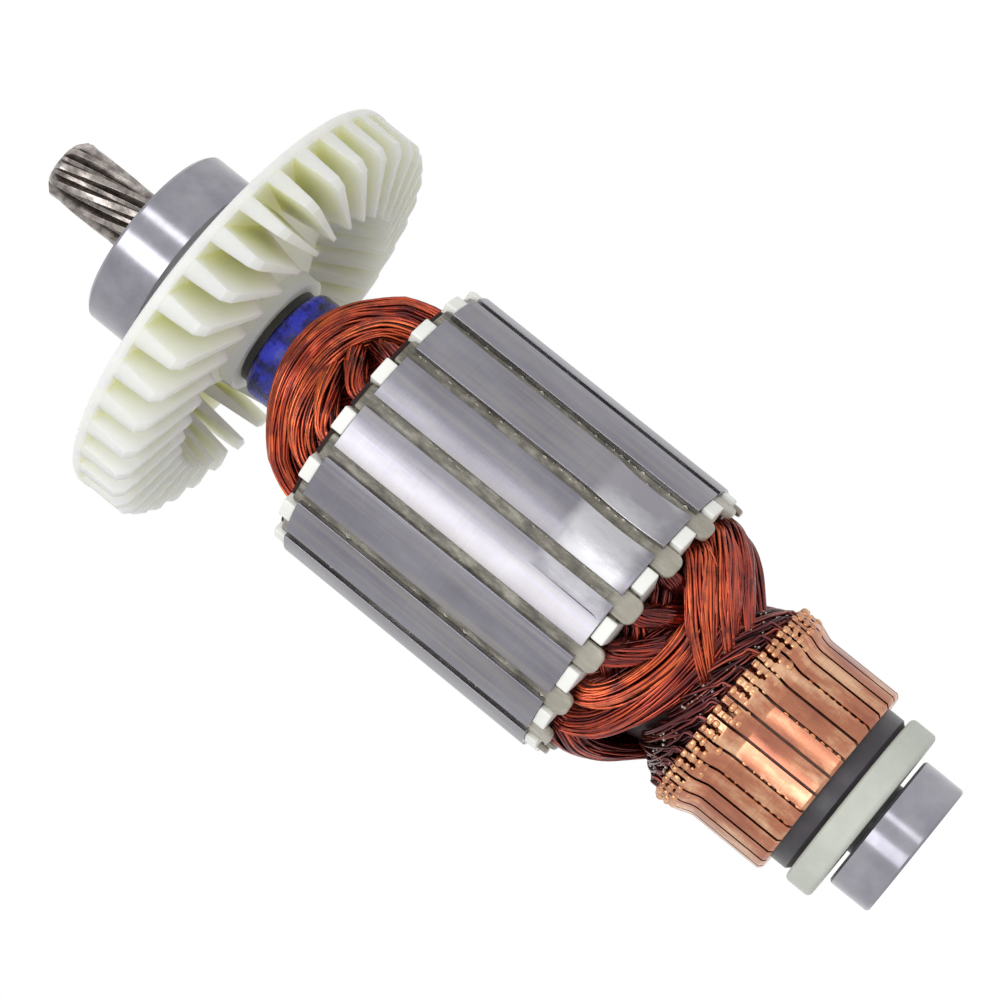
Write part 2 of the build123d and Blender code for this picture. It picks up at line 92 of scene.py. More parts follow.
class Paint:
    """Node material built step by step around one Principled shader."""

    def __init__(self, name, **sockets):
        self.material = bpy.data.materials.new(name)
        self.material.use_nodes = True
        self.tree = self.material.node_tree
        self.shader = self.tree.nodes["Principled BSDF"]
        self.place = self.add("ShaderNodeTexCoord").outputs["Object"]
        for label, value in sockets.items():
            self.shader.inputs[label.replace("_", " ")].default_value = value

    def add(self, kind, **settings):
        """New node with its settings."""
        node = self.tree.nodes.new(kind)
        for label, value in settings.items():
            setattr(node, label, value)
        return node

    def link(self, output, entry):
        """Join an output to an input."""
        self.tree.links.new(output, entry)

    def noise(self, size, detail=3.0, roughness=0.5, stretch=(1, 1, 1), distortion=0.0):
        """Noise whose features are about size millimetres, longer where stretch is above 1."""
        mapping = self.add("ShaderNodeMapping")
        mapping.inputs["Scale"].default_value = [1 / (size * MM * s) if s else 0 for s in stretch]
        texture = self.add("ShaderNodeTexNoise")
        texture.inputs["Scale"].default_value = 1.0
        texture.inputs["Detail"].default_value = detail
        texture.inputs["Roughness"].default_value = roughness
        texture.inputs["Distortion"].default_value = distortion
        self.link(self.place, mapping.inputs["Vector"])
        self.link(mapping.outputs["Vector"], texture.inputs["Vector"])
        return texture.outputs["Fac"]

    def attribute(self, name):
        """Number that the mesh holds at each of its points."""
        return self.add("ShaderNodeAttribute", attribute_name=name).outputs["Fac"]

    def shelter(self, reach):
        """How sheltered a point is by its own piece within a reach in millimetres, up to one."""
        node = self.add("ShaderNodeAmbientOcclusion", samples=4, only_local=True)
        node.inputs["Distance"].default_value = reach * MM
        turned = self.add("ShaderNodeMath", operation="SUBTRACT")
        turned.inputs[0].default_value = 1.0
        self.link(node.outputs["AO"], turned.inputs[1])
        return turned.outputs["Value"]

    def reach(self):
        """Distance from the shaft's axis in millimetres."""
        flat = self.add("ShaderNodeVectorMath", operation="MULTIPLY")
        flat.inputs[1].default_value = (1 / MM, 1 / MM, 0)
        length = self.add("ShaderNodeVectorMath", operation="LENGTH")
        self.link(self.place, flat.inputs[0])
        self.link(flat.outputs["Vector"], length.inputs[0])
        return length.outputs["Value"]

    def height(self):
        """Height along the shaft in millimetres."""
        parts = self.add("ShaderNodeSeparateXYZ")
        scaled = self.add("ShaderNodeMath", operation="DIVIDE")
        scaled.inputs[1].default_value = MM
        self.link(self.place, parts.inputs[0])
        self.link(parts.outputs["Z"], scaled.inputs[0])
        return scaled.outputs["Value"]

    def ramp(self, value, stops):
        """Colour ramp over (position, colour) stops, colours as three numbers."""
        node = self.add("ShaderNodeValToRGB")
        elements = node.color_ramp.elements
        while len(elements) < len(stops):
            elements.new(0.5)
        for element, (position, colour) in zip(elements, stops):
            element.position = position
            element.color = (*colour, 1)
        self.link(value, node.inputs["Fac"])
        return node.outputs["Color"]

    def mix(self, value, first, second):
        """Mix of two colours by a value; a colour may be a socket or three numbers."""
        node = self.add("ShaderNodeMix", data_type="RGBA")
        self.link(value, node.inputs[0])
        for entry, colour in ((node.inputs[6], first), (node.inputs[7], second)):
            if isinstance(colour, bpy.types.NodeSocket):
                self.link(colour, entry)
            else:
                entry.default_value = (*colour, 1)
        return node.outputs[2]

    def spread(self, value, low, high, from_low=0.3, from_high=0.7):
        """Value stretched from one range to another."""
        node = self.add("ShaderNodeMapRange")
        node.inputs["From Min"].default_value = from_low
        node.inputs["From Max"].default_value = from_high
        node.inputs["To Min"].default_value = low
        node.inputs["To Max"].default_value = high
        self.link(value, node.inputs["Value"])
        return node.outputs["Result"]

    def colour(self, socket):
        """Use a socket as the base colour."""
        self.link(socket, self.shader.inputs["Base Color"])

    def roughness(self, socket):
        """Use a socket as the roughness."""
        self.link(socket, self.shader.inputs["Roughness"])

    def bump(self, *layers):
        """Stack bumps of (height socket, strength, depth in millimetres)."""
        normal = None
        for height, strength, depth in layers:
            node = self.add("ShaderNodeBump")
            node.inputs["Strength"].default_value = strength
            node.inputs["Distance"].default_value = depth * MM
            self.link(height, node.inputs["Height"])
            if normal:
                self.link(normal, node.inputs["Normal"])
            normal = node.outputs["Normal"]
        self.link(normal, self.shader.inputs["Normal"])


def ground_steel(name, light, dark, roughness):
    """Steel turned or ground about the shaft, with faint rings and handling marks."""
    paint = Paint(name, Metallic=1.0)
    rings = paint.noise(0.12, 2.0, 0.6, (0, 0, 1))
    marks = paint.noise(6.0, 4.0, 0.6)
    paint.colour(paint.mix(paint.spread(marks, 0, 1), dark, light))
    paint.roughness(paint.spread(rings, roughness - 0.05, roughness + 0.08))
    paint.bump((rings, 0.25, 0.004), (marks, 0.15, 0.01))
    return paint.material


def core_steel():
    """Stacked sheet edges, ground lengthwise, with varnish haze and oil marks."""
    paint = Paint("core_steel", Metallic=1.0)
    sheets = paint.noise(0.5, 1.0, 0.5, (0, 0, 1))
    streaks = paint.noise(1.3, 3.0, 0.6, (1, 1, 40))
    haze = paint.noise(7.0, 4.0, 0.6, (1, 1, 2))
    tone = paint.mix(paint.spread(haze, 0, 1), (0.2, 0.19, 0.225), (0.28, 0.275, 0.31))
    tone = paint.mix(paint.spread(streaks, 0, 0.6, 0.45, 0.7), tone, (0.33, 0.31, 0.28))
    tone = paint.mix(paint.spread(sheets, 0, 0.08), tone, (0.1, 0.095, 0.11))
    milled = paint.spread(paint.reach(), 0, 0.85, CORE_RADIUS - 0.03, CORE_RADIUS - 0.3)
    bright = paint.mix(paint.spread(haze, 0, 1, 0.4, 0.6), (0.52, 0.52, 0.54), (0.3, 0.29, 0.32))
    paint.colour(paint.mix(milled, tone, bright))
    paint.roughness(paint.spread(streaks, 0.24, 0.36))
    paint.bump((sheets, 0.1, 0.004), (streaks, 0.3, 0.012))
    return paint.material


def pinion_steel():
    """Hardened, oil-blackened teeth; painted shade darkens the hollows between them, so the crests stand
    out bright.
    """
    paint = Paint("pinion_steel", Metallic=1.0)
    grime = paint.noise(1.6, 5.0, 0.65)
    scratches = paint.noise(0.25, 3.0, 0.6, (1, 1, 6))
    tone = paint.mix(paint.spread(grime, 0, 1), (0.12, 0.098, 0.09), (0.5, 0.46, 0.43))
    # Painted shade: the hollows between the teeth turn near black.
    painted_shade = paint.spread(paint.shelter(2.5), 0, 0.9, 0.15, 0.6)
    paint.colour(paint.mix(painted_shade, tone, (0.03, 0.023, 0.02)))
    paint.roughness(paint.spread(scratches, 0.15, 0.3))
    paint.bump((scratches, 0.35, 0.02), (grime, 0.3, 0.03))
    return paint.material


def worn_copper(name, dark, middle, light):
    """Commutator bars: turned copper, stained by brushes, with painted shade darkening its gaps and
    hollows.
    """
    paint = Paint(name, Metallic=1.0)
    rings = paint.noise(0.3, 3.0, 0.6, (0, 0, 1))
    stain = paint.noise(3.5, 4.0, 0.6, (1, 1, 2.5))
    tone = paint.ramp(stain, [(0.32, dark), (0.5, middle), (0.68, light)])
    tone = paint.mix(paint.spread(rings, 0, 0.35), tone, dark)
    # Painted shade: gaps and hollows turn dark brown.
    painted_shade = paint.spread(paint.shelter(0.8), 0, 0.8, 0.3, 0.9)
    paint.colour(paint.mix(painted_shade, tone, (0.07, 0.025, 0.015)))
    paint.roughness(paint.spread(stain, 0.17, 0.26))
    paint.bump((rings, 0.25, 0.008), (stain, 0.15, 0.02))
    return paint.material


def wire_enamel(name, tones, roughness):
    """Glossy enamel on copper wire: each wire has its own tone, varnish pools darken it, and painted
    shade darkens it where it lies sheltered among other wires.
    """
    paint = Paint(name, Metallic=0.8, Coat_Weight=0.3, Coat_Roughness=0.1)
    tone = paint.ramp(paint.attribute("tone"), tones)
    pools = paint.noise(3.4, 4.0, 0.6)
    tone = paint.mix(paint.spread(pools, 0, 0.85, 0.45, 0.68), tone, (0.075, 0.012, 0.016))
    # Painted shade: wires sheltered by others turn near black.
    painted_shade = paint.spread(paint.shelter(2.5), 0, 0.95, 0.3, 0.9)
    paint.colour(paint.mix(painted_shade, tone, (0.012, 0.004, 0.004)))
    paint.roughness(paint.spread(pools, roughness, roughness + 0.12))
    paint.bump((paint.noise(0.5, 3.0, 0.6), 0.3, 0.03))
    return paint.material


def moulded(name, light, dark, roughness, grain=0.35, depth=0.012, patch=5.0, **sockets):
    """Moulded plastic with a fine grain and slow changes of tone."""
    paint = Paint(name, **sockets)
    fine = paint.noise(grain, 3.0, 0.6)
    slow = paint.noise(patch, 4.0, 0.6)
    paint.colour(paint.mix(paint.spread(slow, 0, 1), dark, light))
    paint.roughness(paint.spread(fine, roughness - 0.06, roughness + 0.08))
    paint.bump((fine, 0.3, depth), (slow, 0.2, depth * 4))
    return paint.material


def fan_nylon():
    """Natural nylon: light soaks through the thin blades; the greenish tint of the pockets is painted
    shade where the piece shelters itself.
    """
    paint = Paint("fan_nylon", Subsurface_Weight=1.0, Subsurface_Scale=0.008)
    paint.shader.inputs["Subsurface Radius"].default_value = (1.0, 0.97, 0.6)
    fine = paint.noise(0.5, 3.0, 0.6)
    slow = paint.noise(9.0, 4.0, 0.6)
    tone = paint.mix(paint.spread(slow, 0, 1), (0.86, 0.88, 0.74), (0.9, 0.91, 0.81))
    # Painted shade: the pockets take a yellow-green tint where the piece shelters itself.
    painted_pocket_shade = paint.spread(paint.shelter(5.0), 0, 0.8, 0.35, 0.9)
    paint.colour(paint.mix(painted_pocket_shade, tone, (0.88, 0.9, 0.46)))
    paint.roughness(paint.spread(fine, 0.4, 0.55))
    paint.bump((fine, 0.3, 0.012), (slow, 0.2, 0.05))
    return paint.material


def sleeve_blue():
    """Blue sleeve, blotched from deep navy to bright cobalt; the bright blotches are painted shine."""
    paint = Paint("sleeve_blue", Coat_Weight=0.3, Coat_Roughness=0.12)
    painted_shine_blotch = paint.noise(3.2, 4.0, 0.62, distortion=0.6)
    fine = paint.noise(0.7, 3.0, 0.6)
    stops = [(0.36, (0.004, 0.004, 0.04)), (0.48, (0.01, 0.012, 0.24)), (0.62, (0.035, 0.05, 0.75))]
    # The bright cobalt end of the blotches is painted shine.
    paint.colour(paint.ramp(painted_shine_blotch, stops))
    paint.roughness(paint.spread(fine, 0.18, 0.36))
    paint.bump((painted_shine_blotch, 0.5, 0.25), (fine, 0.3, 0.05))
    return paint.material


def wedge_fibre():
    """Beige slot strips soaked in varnish, with glassy runs and dark grime, and painted shade where the
    strips shelter themselves.
    """
    paint = Paint("wedge_fibre", Coat_Weight=0.5, Coat_Roughness=0.15)
    grime = paint.noise(1.4, 5.0, 0.65, (1, 1, 2.5))
    runs = paint.noise(0.6, 3.0, 0.6, (1, 1, 3))
    stops = [(0.32, (0.05, 0.045, 0.032)), (0.5, (0.16, 0.145, 0.11)), (0.72, (0.4, 0.38, 0.32))]
    clean = paint.spread(paint.height(), 0.55, 0, CORE_LOW - 0.3, CORE_LOW + 1.5)
    tone = paint.mix(clean, paint.ramp(grime, stops), (0.5, 0.46, 0.38))
    # Painted shade: the sheltered parts of the strips turn near black.
    painted_shade = paint.spread(paint.shelter(1.4), 0, 0.9, 0.25, 0.8)
    paint.colour(paint.mix(painted_shade, tone, (0.03, 0.026, 0.02)))
    paint.roughness(paint.spread(runs, 0.2, 0.55))
    paint.bump((runs, 0.5, 0.06), (grime, 0.4, 0.08))
    return paint.material


def clear_resin():
    """Drops of hardened impregnating resin."""
    paint = Paint("clear_resin", Coat_Weight=1.0, Coat_Roughness=0.05, Transmission_Weight=0.35)
    cloud = paint.noise(0.8, 3.0, 0.6)
    paint.colour(paint.mix(cloud, (0.75, 0.72, 0.62), (0.45, 0.38, 0.28)))
    paint.roughness(paint.spread(cloud, 0.08, 0.2))
    paint.bump((cloud, 0.3, 0.04))
    return paint.material


MATERIALS = {
    "bearing_steel": ground_steel("bearing_steel", (0.34, 0.335, 0.37), (0.24, 0.235, 0.27), 0.16),
    "shield_steel": ground_steel("shield_steel", (0.42, 0.42, 0.43), (0.3, 0.3, 0.31), 0.3),
    "ball_steel": ground_steel("ball_steel", (0.6, 0.6, 0.62), (0.5, 0.5, 0.52), 0.1),
    "spacer_steel": ground_steel("spacer_steel", (0.13, 0.13, 0.13), (0.06, 0.06, 0.06), 0.35),
    "bush_brass": ground_steel("bush_brass", (0.5, 0.38, 0.18), (0.35, 0.26, 0.12), 0.35),
    "shaft_steel": pinion_steel(),
    "core_steel": core_steel(),
    "commutator_copper": worn_copper(
        "worn_copper", (0.32, 0.115, 0.078), (0.46, 0.19, 0.11), (0.76, 0.48, 0.3)
    ),
    "cage_nylon": moulded("cage_nylon", (0.6, 0.52, 0.38), (0.5, 0.42, 0.3), 0.5),
    "insulator_ivory": moulded("insulator_ivory", (0.95, 0.95, 0.92), (0.88, 0.89, 0.83), 0.38),
    "liner_paper": moulded("liner_paper", (0.42, 0.36, 0.26), (0.2, 0.15, 0.09), 0.6),
    "mica": moulded(
        "mica", (0.2, 0.075, 0.045), (0.06, 0.024, 0.016), 0.5, grain=0.3, depth=0.05, patch=1.2
    ),
    "moulding_dark": moulded("moulding_dark", (0.06, 0.05, 0.065), (0.022, 0.022, 0.024), 0.34),
    "washer_pale": moulded("washer_pale", (0.62, 0.65, 0.58), (0.53, 0.56, 0.5), 0.45),
    "tube_brown": moulded("tube_brown", (0.1, 0.05, 0.03), (0.04, 0.02, 0.015), 0.35),
    "sleeve_blue": sleeve_blue(),
    "ring_dark": moulded("ring_dark", (0.03, 0.03, 0.028), (0.012, 0.012, 0.012), 0.4),
    "fan_nylon": fan_nylon(),
    "wedge_fibre": wedge_fibre(),
    "enamelled_wire": wire_enamel(
        "enamelled_wire",
        [(0.0, (0.13, 0.018, 0.016)), (0.5, (0.47, 0.056, 0.024)), (1.0, (0.78, 0.16, 0.045))],
        0.18,
    ),
    "varnished_leads": wire_enamel(
        "varnished_leads",
        [(0.0, (0.035, 0.01, 0.014)), (0.5, (0.17, 0.034, 0.036)), (1.0, (0.46, 0.09, 0.045))],
        0.25,
    ),
}
RESIN = clear_resin()
# Beads: a lighter copy of the bar copper, as painted highlight.
BEAD_COPPER = worn_copper("bead_copper", (0.42, 0.18, 0.1), (0.58, 0.29, 0.15), (0.76, 0.46, 0.26))
# Near-black varnish colour, used as painted shade in the winding heads and slots.
VARNISH_AND_PAINTED_SHADE = moulded(
    "dark_varnish_and_painted_shade", (0.035, 0.012, 0.012), (0.012, 0.005, 0.005), 0.5, grain=0.6, depth=0.06,
    patch=2.0, Specular_IOR_Level=0.2,
)


# Meshes


def rotor_piece(mesh, material):
    """Smooth, painted piece of the rotor, named as its mesh."""
    mesh.shade_smooth()
    mesh.materials.append(material)
    piece = bpy.data.objects.new(mesh.name, mesh)
    bpy.context.scene.collection.objects.link(piece)
    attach(piece, "rotor")
    return piece


def new_piece(name, points, faces, material):
    """Piece of the rotor from points in millimetres."""
    mesh = bpy.data.meshes.new(name)
    mesh.from_pydata((np.asarray(points) * MM).tolist(), [], faces)
    return rotor_piece(mesh, material)


def edges_between(work, low, high):
    """Edges of a mesh whose two faces meet at an angle between two limits in degrees."""
    low, high = math.radians(low), math.radians(high)
    return [e for e in work.edges if len(e.link_faces) == 2 and low < e.calc_face_angle(0) <= high]


def softened(node, width, slot, sharp=32, segments=2, crease=0):
    """Stand-in for a rotor node: the same form, sharp edges broken and shallow creases rounded."""
    work = bmesh.new()
    work.from_mesh(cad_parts[node].data)
    bmesh.ops.remove_doubles(work, verts=work.verts, dist=0.0005 * MM)
    bmesh.ops.dissolve_limit(work, angle_limit=math.radians(0.2), verts=work.verts, edges=work.edges)
    if crease:
        bmesh.ops.bevel(
            work, geom=edges_between(work, 12, sharp), offset=crease * MM, offset_type="OFFSET",
            segments=5, profile=0.5, affect="EDGES", clamp_overlap=True,
        )
    bmesh.ops.bevel(
        work, geom=edges_between(work, sharp, 180), offset=width * MM, offset_type="OFFSET",
        segments=segments, profile=0.6, affect="EDGES", clamp_overlap=True,
    )
    bmesh.ops.triangulate(work, faces=[f for f in work.faces if len(f.verts) > 4])
    mesh = bpy.data.meshes.new(node + "_finish")
    work.to_mesh(mesh)
    work.free()
    piece = rotor_piece(mesh, MATERIALS[slot])
    mesh.set_sharp_from_angle(angle=math.radians(50))
    weighted = piece.modifiers.new("face_weighted", "WEIGHTED_NORMAL")
    weighted.keep_sharp = True
    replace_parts(piece, node)


def unit(vectors):
    """Vectors of length one along the last axis."""
    return vectors / np.maximum(np.linalg.norm(vectors, axis=-1, keepdims=True), 1e-9)


def polar(angles, radii, heights):
    """Points from angles in degrees, radii and heights, in millimetres."""
    a = np.radians(angles)
    return np.stack([np.sin(a) * radii, -np.cos(a) * radii, heights + 0 * a], axis=-1)


def smooth_line(knots, steps):
    """Smooth line through (angle, radius, height) knots, evenly sampled by a cubic."""
    knots = np.array(knots, float)
    t = np.linspace(0, len(knots) - 1, steps)
    padded = np.vstack([2 * knots[0] - knots[1], knots, 2 * knots[-1] - knots[-2]])
    i = np.minimum(t.astype(int), len(knots) - 2)
    f = (t - i)[:, None]
    p0, p1, p2, p3 = padded[i], padded[i + 1], padded[i + 2], padded[i + 3]
    bend = (2 * p0 - 5 * p1 + 4 * p2 - p3) * f**2 + (3 * p1 - p0 - 3 * p2 + p3) * f**3
    value = 0.5 * (2 * p1 + (p2 - p0) * f + bend)
    return polar(value[:, 0], value[:, 1], value[:, 2])


def tubes(lines, radius, sides):
    """Points, faces and line numbers of round tubes along lines of (count, steps, 3) points."""
    count, steps, _ = lines.shape
    along = unit(np.gradient(lines, axis=1))
    outward = unit(lines * (1, 1, 0) + (0, 0, 1e-3))
    first = unit(outward - along * np.sum(outward * along, axis=2, keepdims=True))
    second = np.cross(along, first)
    turn = 2 * math.pi * np.arange(sides) / sides
    ring = first[:, :, None] * np.cos(turn)[:, None] + second[:, :, None] * np.sin(turn)[:, None]
    points = lines[:, :, None] + ring * radius
    faces = []
    for k in range(count):
        start = k * steps * sides
        for row in range(start, start + (steps - 1) * sides, sides):
            for j in range(sides):
                n = (j + 1) % sides
                faces.append((row + j, row + sides + j, row + sides + n, row + n))
        last = start + (steps - 1) * sides
        faces.append(tuple(range(start, start + sides)))
        faces.append(tuple(range(last + sides - 1, last - 1, -1)))
    return points.reshape(-1, 3), faces, np.repeat(np.arange(count), steps * sides)


class Strands:
    """Wires gathered from many bundles into one mesh."""

    def __init__(self, seed):
        self.random = np.random.default_rng(seed)
        self.parts = []

    def add(self, lines, radius, tones, sides=6):
        """Round wires along lines, each with a tone from dark 0 to bright 1."""
        self.parts.append((tubes(lines, radius, sides), np.clip(tones, 0, 1)))

    def bundle(self, centre, hub_z, deep, wide, wires, tone, twist):
        """Bundle around a dark core, which is painted shade seen between its wires; deep and wide are its
        half sizes at each step.
        """
        along = unit(np.gradient(centre, axis=0))
        outward = unit(centre - np.array((0, 0, hub_z)))
        outward = unit(outward - along * np.sum(outward * along, axis=1, keepdims=True))
        across = np.cross(along, outward)
        u = np.linspace(0, 1, len(centre))
        draw = self.random.uniform
        share = np.sqrt(draw(0.3, 1.0, wires))[:, None]
        share[: 2 * wires // 3] = 1.0
        start = (np.arange(wires) * GOLDEN_ANGLE + draw(-0.3, 0.3, wires))[:, None]
        phase = draw(0, 2 * math.pi, (2, wires))[:, :, None]
        rate = draw(0.5, 1.3, (2, wires))[:, :, None]
        wander = 0.22 * np.sin(2 * math.pi * rate[0] * u + phase[0])
        turn = start + 2 * math.pi * twist * u + wander
        reach = share * (1 + 0.08 * np.sin(2 * math.pi * rate[1] * u + phase[1]))
        high = (deep - WIRE) * reach * np.cos(turn)
        aside = (wide - WIRE) * reach * np.sin(turn)
        lines = centre + high[:, :, None] * outward + aside[:, :, None] * across
        self.add(lines, WIRE, self.random.normal(tone, 0.2, wires))
        # Five thin dark tubes inside each bundle: painted shade seen between the wires.
        fill = 2 * math.pi * np.arange(5)[:, None] / 5
        high = 0.62 * deep * np.cos(fill)
        aside = 0.62 * wide * np.sin(fill)
        core = centre + high[:, :, None] * outward + aside[:, :, None] * across
        self.add(core, 0.3 * float(np.mean(deep)), np.full(5, 0.05), 5)

    def piece(self, name, slot):
        """One mesh piece of all wires so far."""
        points, faces, tones, base = [], [], [], 0
        for (part_points, part_faces, owner), part_tones in self.parts:
            points.append(part_points)
            faces.extend(tuple(i + base for i in face) for face in part_faces)
            tones.append(part_tones[owner])
            base += len(part_points)
        piece = new_piece(name, np.concatenate(points), faces, MATERIALS[slot])
        tone = piece.data.attributes.new("tone", "FLOAT", "POINT")
        tone.data.foreach_set("value", np.concatenate(tones).astype(np.float32))
        return piece


def revolved(name, profile, material):
    """Closed ring turned from (radius, height) corners."""
    segments = 64
    points, faces = [], []
    rows = len(profile)
    for i in range(segments):
        points.extend(polar(360 * i / segments, r, z) for r, z in profile)
        n = (i + 1) % segments
        for j in range(rows):
            k = (j + 1) % rows
            faces.append((i * rows + j, n * rows + j, n * rows + k, i * rows + k))
    new_piece(name, points, faces, material)


def lumps(name, places, power, material, rings=4, sides=8):
    """Domes on the rotor; a place is (angle, radius, height, half width, rise, half length)."""
    points, faces = [], []
    for angle, radius, height, across, rise, along in places:
        a = math.radians(angle)
        outward = np.array((math.sin(a), -math.cos(a), 0))
        side = np.array((math.cos(a), math.sin(a), 0))
        base = outward * radius + np.array((0, 0, height))
        start = len(points)
        for i in range(rings + 1):
            tilt = math.pi / 2 * (i + 0.35) / (rings + 0.35)
            for j in range(sides):
                t = 2 * math.pi * j / sides + math.pi / 8
                wide = math.copysign(abs(math.cos(t)) ** power, math.cos(t))
                tall = math.copysign(abs(math.sin(t)) ** power, math.sin(t))
                spread = math.sin(tilt) ** power
                points.append(
                    base + outward * rise * math.cos(tilt) ** power
                    + side * across * spread * wide + np.array((0, 0, along * spread * tall))
                )
        for i in range(rings):
            for j in range(sides):
                n = (j + 1) % sides
                upper, lower = start + i * sides, start + (i + 1) * sides
                faces.append((upper + j, upper + n, lower + n, lower + j))
        faces.append(tuple(start + j for j in reversed(range(sides))))
        faces.append(tuple(start + rings * sides + j for j in range(sides)))
    new_piece(name, points, faces, material)


# Winding heads

drive_base = high_z("end_insulator_drive")
lower_base = low_z("end_insulator_commutator")
neck_z = low_z("winding_head_commutator")
sleeve_radius = radius_of("shaft_sleeve_drive")
tube_radius = radius_of("shaft_tube_commutator")
riser_top = high_z("commutator_bars")
riser_radius = radius_of("commutator_bars")

# Outline of each head as (distance from the end insulator, radius)
DRIVE_OUTLINE = ((-2, 19.2), (0, 19.1), (1.1, 18.9), (5.3, 17.7), (8.2, 15.7), (10.1, 14.7), (13.0, 13.2))
LOWER_OUTLINE = (
    (-2, 20.5), (1.4, 20.5), (5.0, 19.2), (7.9, 17.3), (10.7, 15.1), (12.1, 14.0), (13.5, 13.0),
)


def coil_end(strands, base, outward, outline, coil, steps):
    """Coil end that leaves one slot and enters another, on both sides of the shaft.

    coil is (middle angle, half span, rise, depth, half depth, half width, wires, tone).
    """
    middle, half_span, rise, depth, deep, wide, wires, tone = coil
    turn = np.linspace(-math.pi / 2, math.pi / 2, steps)
    lift = np.cos(turn) ** 0.85
    distance = -1.2 + (rise + 1.2) * lift * (1 + 0.08 * np.sin(turn))
    reach = np.interp(distance, [d for d, _ in outline], [r for _, r in outline])
    radius = reach - 3.3 - (depth - 3.3) * lift**0.7
    deep_line = 2.9 + (deep - 2.9) * lift
    wide_line = 1.45 + (wide - 1.45) * lift
    for side in BOTH_SIDES:
        angle = FIRST_SLOT + middle + side + half_span * np.sin(turn)
        centre = polar(angle, radius, base + outward * distance)
        hub_z = base - outward * 4
        strands.bundle(centre, hub_z, deep_line, wide_line, wires, tone, 0.22 * outward)


def coil_foot(strands, base, outward, slot, lean, tone):
    """Coil side that leaves its slot and leans over until it is under the top coils."""
    steps = 20
    u = np.linspace(0, 1, steps)
    deep = 2.7 - 1.3 * u
    wide = 1.4 + 0.4 * u
    for side in BOTH_SIDES:
        angle = FIRST_SLOT + slot * SLOT_PITCH + side
        knots = [
            (angle, 18.0, base - outward * 1.2),
            (angle + lean, 18.1, base + outward * 0.8),
            (angle + 7 * lean, 16.5 + lean, base + outward * (1.6 + 1.3 * lean)),
            (angle + 17 * lean, 14.5 + 1.5 * lean, base + outward * (2.7 + 2.4 * lean)),
            (angle + 31 * lean, 12.4 + 1.2 * lean, base + outward * (3.6 + 3.4 * lean)),
            (angle + 48 * lean, 11.0 + 0.4 * lean, base + outward * (4.2 + 4 * lean)),
        ]
        strands.bundle(smooth_line(knots, steps), base - outward * 6, deep, wide, 34, tone, 0.4)


def winding_head(name, node, base, outward, outline, under, feet, over, seed):
    """Crossed coil ends: each of the lower ones a slot further on, the top ones over them all.

    under holds the rises and the depths of the first and last of the lower coils, feet are
    (slot, lean, tone) of coil sides, and over are the top coils as coil_end takes them.
    """
    lower, upper = Strands(seed), Strands(seed + 1)
    rises, depths = under
    count = SLOT_COUNT // 2 - 1
    for k in range(count):
        share = k / (count - 1)
        rise = rises[0] + (rises[1] - rises[0]) * share
        depth = depths[0] + (depths[1] - depths[0]) * share
        # The lower coils take the dark tone 0.2 as painted shade under the top coils.
        coil = (SLOT_PITCH * (count - k), COIL_HALF_SPAN, rise, depth, 2.0, 2.3, 30, 0.2)
        coil_end(lower, base, outward, outline, coil, 20)
    for slot, lean, tone in feet:
        coil_foot(upper, base, outward, slot, lean, tone)
    for coil in over:
        coil_end(upper, base, outward, outline, coil, 38)
    lower.piece(name + "_under", "enamelled_wire")
    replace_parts(upper.piece(name + "_over", "enamelled_wire"), node)


# The tones of the feet and top coils below, set per head, are painted light and shade.
winding_head(
    "drive_head", "winding_head_drive", drive_base, 1, DRIVE_OUTLINE,
    ((3.0, 6.4), (7.6, 5.4)),
    ((-1, 1.0, 0.7), (0, 0.8, 0.6), (1, 0.25, 0.3)),
    (
        (0, COIL_HALF_SPAN, 11.7, 1.7, 2.0, 3.0, 74, 0.6),
        (0, COIL_HALF_SPAN - SLOT_PITCH, 7.7, 2.0, 1.9, 2.4, 50, 0.75),
    ),
    11,
)
winding_head(
    "commutator_head", "winding_head_commutator", lower_base, -1, LOWER_OUTLINE,
    ((3.4, 6.6), (7.8, 5.6)),
    ((-1, 0.9, 0.3), (0, 0.8, 0.15), (1, 0.3, 0.1)),
    (
        (0, COIL_HALF_SPAN, 10.7, 2.0, 2.0, 2.9, 66, 0.4),
        (0, COIL_HALF_SPAN - SLOT_PITCH, 8.1, 2.2, 1.9, 2.4, 50, 0.75),
    ),
    23,
)
# Dark bodies inside both heads: painted shade behind the gaps between the coils.
revolved(
    "drive_head_fill",
    [
        (sleeve_radius + 0.02, drive_base + 0.02),
        (15.0, drive_base + 0.02),
        (14.2, drive_base + 4),
        (11.6, drive_base + 8),
        (10.2, drive_base + 10.8),
        (sleeve_radius + 0.02, drive_base + 11.4),
    ],
    VARNISH_AND_PAINTED_SHADE,
)
revolved(
    "commutator_head_fill",
    [
        (tube_radius + 0.02, lower_base - 0.02),
        (tube_radius + 0.02, riser_top + 0.02),
        (14.6, riser_top + 0.02),
        (12.4, riser_top + 2.2),
        (11.6, neck_z + 0.4),
        (13.0, lower_base - 8),
        (15.2, lower_base - 4),
        (15.6, lower_base - 0.02),
    ],
    VARNISH_AND_PAINTED_SHADE,
)


# Leads from the commutator end of the winding into the risers


